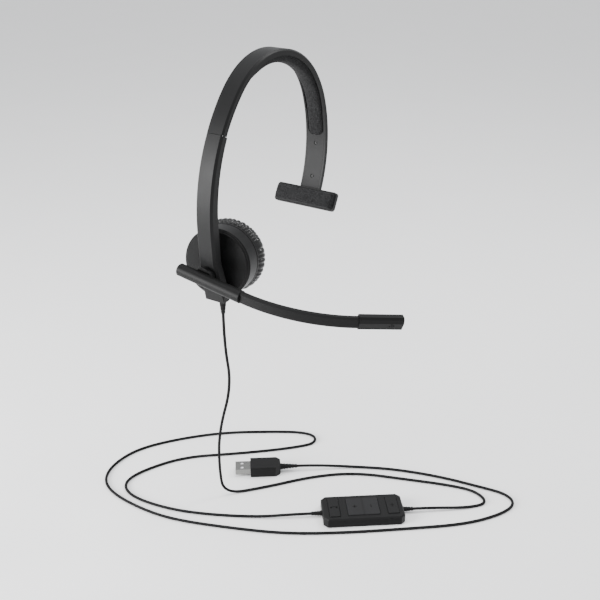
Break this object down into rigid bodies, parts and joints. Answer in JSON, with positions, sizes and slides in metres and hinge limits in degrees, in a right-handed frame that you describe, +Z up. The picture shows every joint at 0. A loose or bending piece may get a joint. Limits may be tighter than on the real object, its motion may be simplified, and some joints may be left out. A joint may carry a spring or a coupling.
{
  "type": "office headset",
  "caption": "Single-sided wired headset: padded headband with temple pad, swivelling ear cup, boom microphone, and a cord with an inline remote and a USB plug.",
  "frame": {"origin": "crown seat: the point on the underside of the headband pad that rests on top of the head", "axes": "+Z up, the wearer faces -Y, and the ear cup is on the -X side"},
  "size_m": [0.1798, 0.2936, 0.332],
  "materials": {
    "band_plastic": "fine matt texture",
    "spring_steel": "rolled strip",
    "liner_plastic": "fine matt texture",
    "pad_fabric": "knitted mesh over foam",
    "tray_plastic": "matt",
    "screw_steel": "black oxide",
    "arm_plastic": "fine matt texture",
    "brake_plastic": "natural acetal",
    "hub_plastic": "smooth",
    "pin_steel": "turned",
    "washer_plastic": "natural acetal",
    "boom_plastic": "satin",
    "boom_rubber": "matt soft-touch",
    "spine_steel": "annealed wire",
    "mic_plastic": "satin",
    "capsule_metal": "drawn can",
    "boot_rubber": "matt",
    "mic_mesh": "woven acoustic mesh",
    "gimbal_plastic": "satin acetal",
    "cup_plastic": "smooth matt",
    "driver_plastic": "matt",
    "driver_steel": "plated",
    "driver_film": "clear film",
    "plate_plastic": "matt",
    "scrim_fabric": "knitted scrim",
    "cushion_leather": "soft leatherette, gathered",
    "cord_jacket": "satin jacket",
    "relief_rubber": "matt",
    "remote_plastic": "fine matt texture",
    "key_plastic": "satin",
    "board_resin": "solder mask",
    "switch_metal": "stamped",
    "plug_plastic": "fine matt texture",
    "plug_steel": "bright nickel",
    "tongue_plastic": "white insulator",
    "contact_gold": "gold flash"
  },
  "bodies": {
    "arm": {"arm_outer_shell": "arm_plastic", "arm_inner_shell": "arm_plastic", "arm_screws": "screw_steel", "slider_brake": "brake_plastic", "boom_hub": "hub_plastic", "boom_axle": "pin_steel", "axle_clip": "pin_steel", "friction_washer": "washer_plastic", "cup_post": "gimbal_plastic", "swivel_pin": "pin_steel", "headset_relief": "relief_rubber", "cord_headset_remote": "cord_jacket", "cord_remote_plug": "cord_jacket", "remote_top_shell": "remote_plastic", "remote_bottom_shell": "remote_plastic", "remote_screws": "screw_steel", "remote_board": "board_resin", "remote_switches": "switch_metal", "remote_relief_headset": "relief_rubber", "remote_relief_plug": "relief_rubber", "plug_overmould": "plug_plastic", "plug_relief": "relief_rubber", "usb_shell": "plug_steel", "usb_tongue": "tongue_plastic", "usb_contacts": "contact_gold"},
    "headband": {"headband_shell": "band_plastic", "band_spring": "spring_steel", "headband_liner": "liner_plastic", "headband_pad": "pad_fabric", "temple_cover": "liner_plastic", "temple_screws": "screw_steel", "temple_tray": "tray_plastic", "temple_tray_screw": "screw_steel", "temple_pad": "pad_fabric"},
    "boom": {"boom_barrel": "boom_plastic", "boom_end_cap": "boom_plastic", "boom_collar": "boom_plastic", "boom_arm": "boom_rubber", "boom_spine": "spine_steel", "mic_housing_inner": "mic_plastic", "mic_housing_outer": "mic_plastic", "mic_capsule": "capsule_metal", "mic_boot": "boot_rubber", "mic_screens": "mic_mesh"},
    "cup_gimbal": {"gimbal_ring": "gimbal_plastic", "tilt_pins": "pin_steel"},
    "ear_cup": {"cup_back_shell": "cup_plastic", "gimbal_cover": "gimbal_plastic", "cup_baffle": "cup_plastic", "cup_screws": "screw_steel", "driver_frame": "driver_plastic", "driver_magnet": "driver_steel", "driver_diaphragm": "driver_film", "cushion_plate": "plate_plastic", "cup_scrim": "scrim_fabric", "ear_cushion": "cushion_leather"},
    "call_button": {"call_key": "key_plastic"},
    "volume_button": {"volume_key": "key_plastic"},
    "mute_button": {"mute_key": "key_plastic"}
  },
  "joints": [
    {"name": "headband_length", "type": "hinge", "parent": "arm", "child": "headband", "pos_m": [0.04732, 0, -0.09542], "axis": [0, 1, 0], "range_deg": [0, 13]},
    {"name": "boom_swing", "type": "hinge", "parent": "arm", "child": "boom", "pos_m": [-0.08449, 0, -0.1328], "axis": [-1, 0, 0], "range_deg": [-67, 82]},
    {"name": "cup_swivel", "type": "hinge", "parent": "arm", "child": "cup_gimbal", "pos_m": [-0.0602, 0.0025, -0.129], "axis": [0, 0, 1], "range_deg": [-20, 4]},
    {"name": "cup_tilt", "type": "hinge", "parent": "cup_gimbal", "child": "ear_cup", "pos_m": [-0.0602, 0.0025, -0.129], "axis": [-0.225, 0.9744, 0], "range_deg": [-12, 1.5]},
    {"name": "call_press", "type": "slide", "parent": "arm", "child": "call_button", "axis": [0, 0, -1], "range_m": [0, 0.0004], "stiffness_N_per_m": 800, "springref_m": -0.0003},
    {"name": "volume_rock", "type": "hinge", "parent": "arm", "child": "volume_button", "pos_m": [-0.02678, -0.10006, -0.3158], "axis": [0.7815, 0.6239, 0], "range_deg": [-1.5, 1.5], "stiffness_Nm_per_rad": 0.2},
    {"name": "mute_press", "type": "slide", "parent": "arm", "child": "mute_button", "axis": [0, 0, -1], "range_m": [0, 0.0004], "stiffness_N_per_m": 800, "springref_m": -0.0003}
  ]
}
